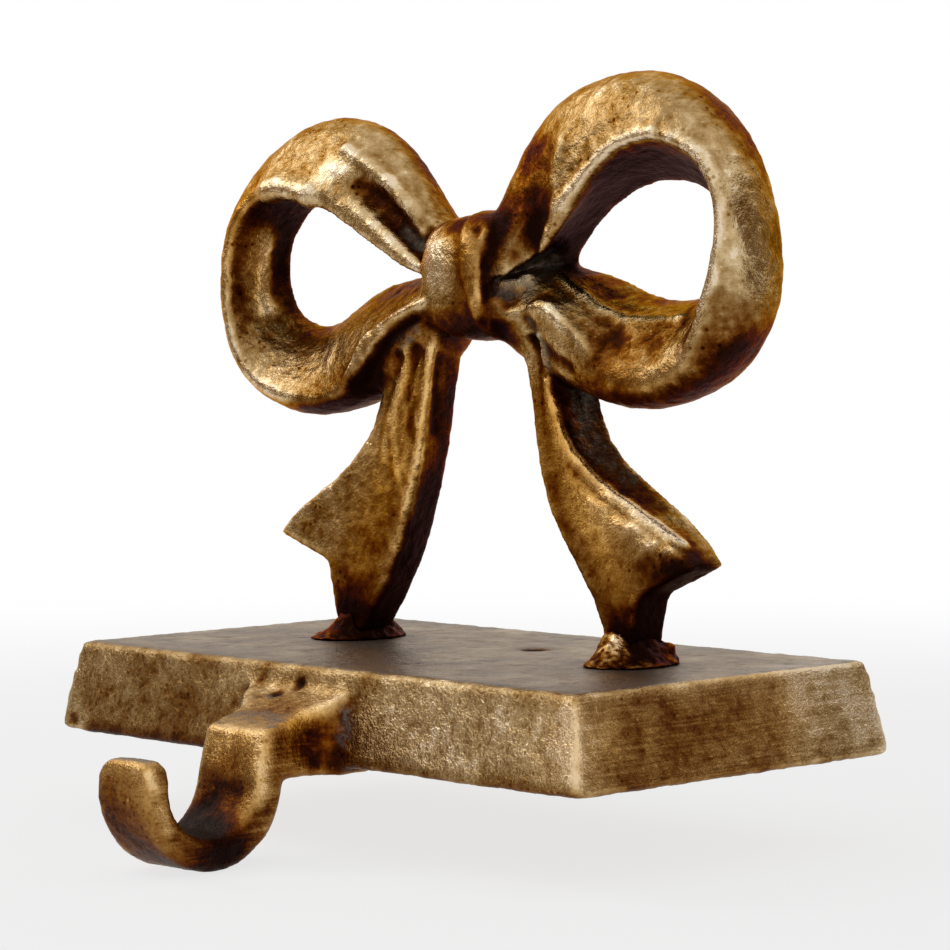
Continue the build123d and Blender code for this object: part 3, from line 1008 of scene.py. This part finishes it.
        Stroke(((41.4, 0.9, 25.0), (35.5, 2.6, 22.4), (32.9, 3.4, 19.6)), 0.8, 3.2),
        Stroke(((31.0, -0.2, 16.6), (31.0, 3.0, 14.0)), 0.5, 3.2),
    )
    coppers: tuple[Stroke, ...] = (
        # The two tails and the knot.
        Stroke(
            ((-8.5, -0.2, 50.0), (-11.0, -0.2, 40.0), (-16.0, -0.2, 30.0), (-20.0, -0.2, 20.0)), 0.9, 7.0
        ),
        Stroke(((17.0, -0.2, 46.0), (20.0, -0.2, 36.0), (26.0, -0.2, 28.0), (31.0, -0.2, 20.0)), 0.9, 6.0),
        Stroke(((5.6, -4.1, 65.8), (6.2, -4.1, 61.8), (7.0, -2.9, 57.9)), 0.7, 3.5),
        # Right loop: underside, inside and upper fold.
        Stroke(RIGHT_UNDERSIDE, 0.8, 4.0),
        Stroke(((21.8, 4.9, 72.2), (33.7, 3.7, 77.0), (41.0, 5.8, 74.0)), 0.8, 4.5),
        Stroke(RIGHT_UPPER_FOLD, 0.6, 4.0),
        # Left loop: left side.
        Stroke(((-42.6, -2.4, 73.4), (-44.6, -0.6, 68.8), (-44.8, 2.0, 62.0)), 0.8, 4.5),
    )
    residues: tuple[Stroke, ...] = (
        # Right loop's root, the groove under it and the right tail's facet.
        Stroke(((10.4, 0.0, 61.8), (13.9, 2.6, 63.8)), 1.0, 3.0),
        Stroke(((14.0, 0.0, 60.0), (17.0, -1.4, 54.6), (17.6, -0.9, 51.0)), 0.8, 1.5),
        Stroke(((19.8, 4.1, 46.6), (20.8, 3.6, 42.7), (23.4, 4.1, 39.4), (27.5, 5.0, 36.6)), 0.7, 2.6),
        # Left loop's valley and lower band, and the groove by the left tail.
        Stroke(((-7.6, 0.6, 66.6), (-10.5, 0.4, 69.0)), 0.7, 1.5),
        Stroke(((-4.0, 4.0, 61.6), (-10.0, 5.0, 60.4)), 0.7, 2.0),
        Stroke(((-7.0, -1.4, 55.4), (-11.0, -1.6, 53.4)), 0.7, 1.4),
    )


# Lines of the slab and hook that more than one stroke follows.
HOOK_BAR: Line = ((0.0, -36.0, 2.0), (0.0, -50.0, -6.0), (0.0, -58.0, 0.0))
LEFT_VOID: Line = ((-4.0, -29.4, 8.7),)
RIGHT_VOID: Line = ((-1.2, -27.4, 9.8),)


@dataclass
class SlabWithHook(Casting):
    """The slab and its J hook, one sand casting."""

    node: str = "base_with_hook"
    finish: AgedBrass = SLAB_BRASS
    voxel: float = 0.5
    smoothing: int = 6
    lump_height: float = 0.12
    lump_size: float = 3.0
    grit_height: float = 0.04
    base_patina: float = 0.35
    wear: float = 0.24
    strokes: tuple[Stroke, ...] = (
        # Two casting voids at the hook's root.
        Stroke(LEFT_VOID, -0.9, 0.7),
        Stroke(RIGHT_VOID, -0.9, 0.7),
        # The chipped lower corner and the dent in the hook's tip.
        Stroke(((-48.4, -29.5, 1.2),), -0.7, 1.4),
        Stroke(((6.0, -57.7, -1.4),), -0.3, 1.4),
    )
    tone_strokes: tuple[Stroke, ...] = (
        # Top: the pit, and painted shade along the front edge to damp the soft box's highlight.
        Stroke(((6.5, 8.0, 11.6),), 0.8, 2.3),
        Stroke(((-48.0, -26.4, 12.0), (0.0, -26.6, 11.8), (48.0, -26.8, 11.9)), 0.3, 1.4),
        # Front: left end, painted shadow along the bottom edge, and the bare stretch right of the hook.
        Stroke(((-44.0, -29.5, 3.0), (-24.0, -29.5, 4.0)), 0.2, 9.0),
        Stroke(((-44.0, -29.5, 0.4), (19.5, -29.6, 0.3), (49.0, -29.6, 0.4)), 0.42, 1.3),
        Stroke(((18.2, -27.9, 7.5), (45.0, -27.9, 7.0)), -0.12, 7.0),
        # Right end: painted shadow along the bottom edge, back corner and front corner.
        Stroke(((50.9, -24.0, 0.4), (50.9, 26.0, 0.4)), 0.15, 1.5),
        Stroke(((49.0, 13.3, 8.4), (50.0, 27.0, 6.0)), -0.4, 7.0),
        Stroke(((49.8, -27.0, 7.0), (49.8, -24.0, 7.5)), -0.2, 4.0),
        # Hook's root: sides, seam, top and the voids.
        Stroke(((5.8, -33.9, 6.3), (7.1, -30.8, 4.2), (6.0, -34.1, 2.5)), -0.2, 3.6),
        Stroke(((7.5, -30.6, 6.0), (7.5, -30.3, 2.0)), 0.32, 1.4),
        Stroke(((-0.8, -29.9, 8.4),), 0.2, 3.0),
        Stroke(((-6.0, -28.4, 9.6), (6.0, -28.0, 9.8)), -0.35, 1.8),
        Stroke(LEFT_VOID, 0.5, 0.55),
        Stroke(RIGHT_VOID, 0.5, 0.55),
        # Hook: all of it, its shoulder, edges, painted shade in the throat and under the bend.
        Stroke(HOOK_BAR, 0.16, 11.0),
        Stroke(((-3.0, -39.9, 3.5),), -0.18, 3.6),
        Stroke(((3.6, -39.6, 5.0), (5.6, -39.8, 2.6), (6.0, -40.4, -2.0)), -0.4, 1.8),
        Stroke(((5.8, -58.3, 1.7), (6.0, -57.0, -1.5), (6.0, -55.7, -5.4)), -0.4, 0.8),
        Stroke(((4.0, -46.5, -7.0), (-5.3, -43.9, -6.0)), 0.5, 3.6),
        Stroke(((6.0, -47.5, -10.4), (2.3, -55.6, -9.0), (-1.7, -58.0, -5.0)), 0.3, 4.0),
    )
    coppers: tuple[Stroke, ...] = (
        # The hook, the right end and the hook's root.
        Stroke(HOOK_BAR, 0.7, 11.0),
        Stroke(((50.0, -22.0, 6.0), (50.0, 6.0, 6.0)), 0.6, 8.0),
        Stroke(((5.8, -34.0, 4.5), (6.6, -31.0, 3.5)), 0.6, 4.0),
    )
    residues: tuple[Stroke, ...] = (
        # Front, beside the hook's root.
        Stroke(((9.3, -28.8, 4.2), (9.5, -28.4, 6.8)), 0.6, 2.2),
    )


@dataclass
class FootBraze(Casting):
    """A lump of braze round one of the bow's feet."""

    finish: AgedBrass = BRAZE_METAL
    voxel: float = 0.3
    smoothing: int = 10
    lump_height: float = 0.3
    lump_size: float = 1.5
    base_patina: float = 0.74
    tone_strokes: tuple[Stroke, ...] = (
        # Right foot: the bright bead, painted shade in the hollow behind it, and the far bead.
        Stroke(((30.7, -1.4, 15.9), (31.0, -1.8, 15.0)), -0.8, 1.6),
        Stroke(((32.4, 0.6, 14.2), (32.6, 1.6, 13.0)), 0.5, 1.6),
        Stroke(((33.9, 4.6, 13.6),), -0.3, 1.6),
        # Left foot: the near bead, painted shade in the hollow, and the far bead.
        Stroke(((-25.8, -1.7, 13.6),), -0.12, 2.4),
        Stroke(((-20.6, -1.2, 14.4), (-18.4, 2.6, 13.6)), 0.5, 2.4),
        Stroke(((-17.6, 5.2, 13.2),), -0.25, 1.6),
    )
    coppers: tuple[Stroke, ...] = (
        # Left foot, then right foot.
        Stroke(((-24.5, -1.0, 13.5), (-18.0, 4.0, 13.5)), 0.8, 4.0),
        Stroke(((32.5, 1.0, 14.0), (34.0, 5.0, 13.5)), 0.7, 3.0),
    )


def stage_object(name: str, shape: bmesh.types.BMesh, material: bpy.types.Material) -> bpy.types.Object:
    """Puts a shape of the studio into the scene.

    Args:
        name: The object's name.
        shape: Its shape, which is used up.
        material: Its material.

    Returns:
        The new object.
    """
    mesh = bpy.data.meshes.new(name)
    shape.to_mesh(mesh)
    shape.free()
    mesh.materials.append(material)
    piece = bpy.data.objects.new(name, mesh)
    bpy.context.scene.collection.objects.link(piece)
    return piece


@dataclass(frozen=True)
class Flag:
    """A warm card out of the camera's sight, which brass mirrors as in a studio."""

    name: str
    place: Point
    width: float
    height: float
    colour: Colour

    def build(self) -> None:
        """Stands the card upright on the floor, facing the object."""
        shape = bmesh.new()
        bmesh.ops.create_grid(shape, x_segments=1, y_segments=1, size=0.5)
        bmesh.ops.scale(shape, verts=shape.verts, vec=(self.width * MM, self.height * MM, 1))
        place = Vector(self.place) * MM
        turn = Vector((place.x, place.y, 0)).to_track_quat("Z", "Y").to_matrix()
        bmesh.ops.rotate(shape, verts=shape.verts, cent=(0, 0, 0), matrix=turn)
        bmesh.ops.translate(shape, verts=shape.verts, vec=place)
        shader = Shader(self.name)
        matt = shader.node("ShaderNodeBsdfDiffuse", None, {"Color": self.colour}).outputs[0]
        shader.node("ShaderNodeOutputMaterial", None, {"Surface": matt})
        card = stage_object(self.name, shape, shader.material)
        card.visible_camera = False
        card.visible_diffuse = False
        card.visible_shadow = False
        log.info("%s set up", self.name)


@dataclass
class Studio:
    """Pale floor, soft light and the camera."""

    # Floor just under the hook, and the cards beyond it.
    floor_z: float = -11.8
    floor_radius: float = 420.0
    floor_sides: int = 96
    floor_fade: Range = (0.3, 0.95)
    floor_colour: Colour = (0.93, 0.93, 0.93)
    floor_glow: float = 0.75
    flags: tuple[Flag, ...] = (
        Flag("right_flag", (260.0, 190.0, 120.0), 460.0, 264.0, (0.48, 0.34, 0.2)),
        Flag("front_flag", (-250.0, -240.0, 78.0), 520.0, 180.0, (0.55, 0.36, 0.16)),
    )
    # Camera, fitted to the slab's corners in the photograph.
    target: Point = (3.06, 0.0, 36.3)
    distance: float = 456.96
    azimuth: float = math.radians(46.05)
    elevation: float = math.radians(2.796)
    roll: float = -0.005
    lens: float = 128.46
    near_clip: float = 10.0
    # Light: the room's fill on matt surfaces, and the soft box.
    sky_fill: float = 0.4
    key_place: Point = (-430.0, -215.0, 390.0)
    key_size: float = 250.0
    key_power: float = 0.5

    def floor(self) -> None:
        """Pale round floor that fades into the background."""
        shape = bmesh.new()
        radius = self.floor_radius * MM
        bmesh.ops.create_circle(shape, cap_ends=True, segments=self.floor_sides, radius=radius)
        bmesh.ops.translate(shape, verts=shape.verts, vec=(0, 0, self.floor_z * MM))
        floor = stage_object("floor", shape, self.floor_material())
        log.info("floor laid")

    def floor_material(self) -> bpy.types.Material:
        """Makes the floor's finish: matt and pale, see-through towards its rim.

        Returns:
            The floor's material.
        """
        shader = Shader("pale_floor")
        far = shader.node("ShaderNodeVectorMath", {"operation": "LENGTH"}, {0: shader.place})
        fade = (share * self.floor_radius for share in self.floor_fade)
        share = 1 - Value(shader, far.outputs["Value"]).step(*fade)
        matt = shader.node("ShaderNodeBsdfDiffuse", None, {"Color": self.floor_colour})
        white = shader.node("ShaderNodeEmission", None, {"Color": WHITE, "Strength": 1.0})
        sockets = {0: shader.seen() * self.floor_glow, 1: matt.outputs[0], 2: white.outputs[0]}
        pale = shader.node("ShaderNodeMixShader", None, sockets)
        clear = shader.node("ShaderNodeBsdfTransparent")
        sockets = {0: share, 1: clear.outputs[0], 2: pale.outputs[0]}
        blend = shader.node("ShaderNodeMixShader", None, sockets)
        shader.node("ShaderNodeOutputMaterial", None, {"Surface": blend.outputs[0]})
        return shader.material

    def sky(self) -> None:
        """White all round, as seen and as mirrored, and a softer fill on matt surfaces."""
        world = bpy.data.worlds.new("white_room")
        world.use_nodes = True
        bpy.context.scene.world = world
        graph = Graph(world.node_tree)
        level = graph.node("ShaderNodeMapRange", None, {"Value": graph.seen(), "To Min": self.sky_fill})
        sockets = {"Color": WHITE, "Strength": level.outputs[0]}
        background = graph.node("ShaderNodeBackground", None, sockets)
        graph.node("ShaderNodeOutputWorld", None, {"Surface": background.outputs[0]})

    def key_light(self) -> None:
        """Soft box high on the left."""
        lamp = bpy.data.lights.new("soft_box", "AREA")
        lamp.energy = self.key_power
        lamp.size = self.key_size * MM
        box = bpy.data.objects.new("soft_box", lamp)
        place = Vector(self.key_place) * MM
        aim = (Vector(self.target) * MM - place).to_track_quat("-Z", "Y")
        box.matrix_world = Matrix.Translation(place) @ aim.to_matrix().to_4x4()
        bpy.context.scene.collection.objects.link(box)

    def camera(self) -> None:
        """Camera at the photograph's viewing angle."""
        level = math.cos(self.elevation)
        sideways, forwards = math.sin(self.azimuth) * level, math.cos(self.azimuth) * level
        back = Vector((sideways, -forwards, math.sin(self.elevation)))
        place = (Vector(self.target) + back * self.distance) * MM
        turn = (-back).to_track_quat("-Z", "Y").to_matrix().to_4x4()
        data = bpy.data.cameras.new("camera")
        data.lens = self.lens
        data.clip_start = self.near_clip * MM
        camera = bpy.data.objects.new("camera", data)
        camera.matrix_world = Matrix.Translation(place) @ turn @ Matrix.Rotation(self.roll, 4, "Z")
        bpy.context.scene.collection.objects.link(camera)
        bpy.context.scene.camera = camera

    def build(self) -> None:
        """Sets up the floor, the light and the camera."""
        bpy.context.scene.view_settings.view_transform = "Standard"
        self.floor()
        for flag in self.flags:
            flag.build()
        self.sky()
        self.key_light()
        self.camera()


def main() -> None:
    """Builds and dresses every piece, then the studio."""
    logging.basicConfig(level=logging.INFO, format="%(name)s: %(message)s")
    castings = [SlabWithHook(), RibbonBow(), FootBraze("left_foot_braze"), FootBraze("right_foot_braze")]
    pieces = [casting.build() for casting in castings]
    shelter = Shelter(pieces)
    for casting, piece in zip(castings, pieces):
        casting.dress(piece, shelter)
    Studio().build()


if __name__ == "__main__":
    main()
